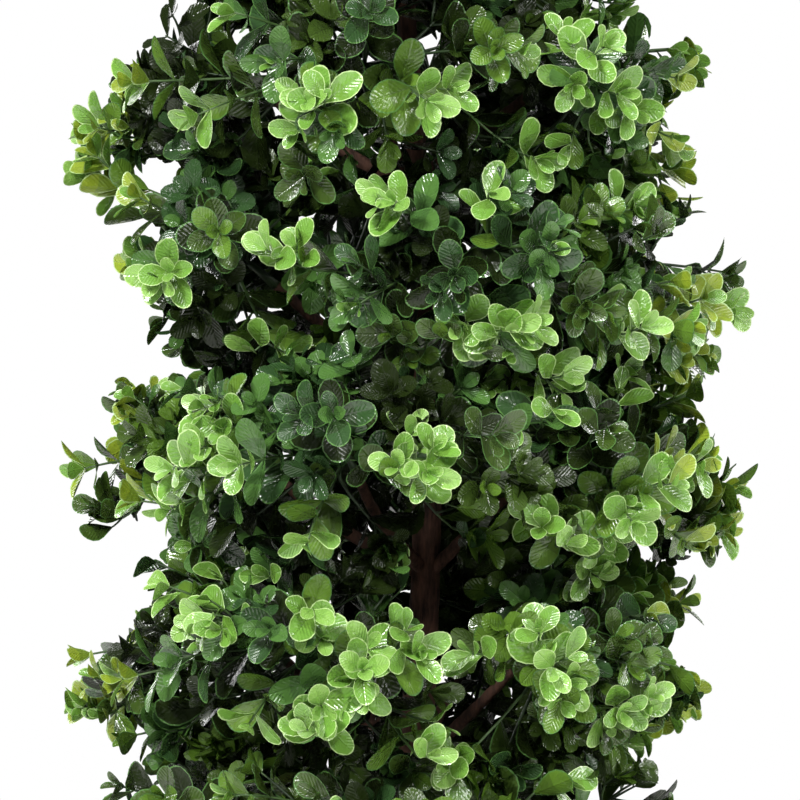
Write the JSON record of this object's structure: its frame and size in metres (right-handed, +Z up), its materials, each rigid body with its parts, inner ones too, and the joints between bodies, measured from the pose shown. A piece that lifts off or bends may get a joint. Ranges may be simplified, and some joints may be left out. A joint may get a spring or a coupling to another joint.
{
  "type": "potted artificial boxwood column",
  "caption": "Artificial boxwood column shrub: rings of leafy masses on boughs round one bark-covered stem, with a domed top, in a plain round pot.",
  "frame": {"origin": "middle of the pot's flat underside", "axes": "+Z up along the stem, -Y is the front that the picture shows, +X is the picture's right"},
  "size_m": [0.3616, 0.3504, 0.906],
  "materials": {
    "pot": "moulded black nursery-pot plastic, satin",
    "fill": "rough dark potting mix over a cast weight",
    "bark": "rough reddish brown bark wrap",
    "foliage": "glossy moulded leaves, lime at the tips and dark green inside"
  },
  "bodies": {
    "root": {"bough_1_a": "bark", "bough_1_b": "bark", "bough_1_c": "bark", "bough_1_d": "bark", "bough_2_a": "bark", "bough_2_b": "bark", "bough_2_c": "bark", "bough_2_d": "bark", "bough_3_a": "bark", "bough_3_b": "bark", "bough_3_c": "bark", "bough_3_d": "bark", "bough_4_a": "bark", "bough_4_b": "bark", "bough_4_c": "bark", "bough_4_d": "bark", "bough_5_a": "bark", "bough_5_b": "bark", "bough_5_c": "bark", "bough_5_d": "bark", "bough_6_a": "bark", "bough_6_b": "bark", "bough_6_c": "bark", "bough_6_d": "bark", "foliage_1_a": "foliage", "foliage_1_b": "foliage", "foliage_1_c": "foliage", "foliage_1_d": "foliage", "foliage_2_a": "foliage", "foliage_2_b": "foliage", "foliage_2_c": "foliage", "foliage_2_d": "foliage", "foliage_3_a": "foliage", "foliage_3_b": "foliage", "foliage_3_c": "foliage", "foliage_3_d": "foliage", "foliage_4_a": "foliage", "foliage_4_b": "foliage", "foliage_4_c": "foliage", "foliage_4_d": "foliage", "foliage_5_a": "foliage", "foliage_5_b": "foliage", "foliage_5_c": "foliage", "foliage_5_d": "foliage", "foliage_6_a": "foliage", "foliage_6_b": "foliage", "foliage_6_c": "foliage", "foliage_6_d": "foliage", "foliage_top": "foliage", "pot": "pot", "pot_fill": "fill", "trunk": "bark"}
  },
  "joints": []
}
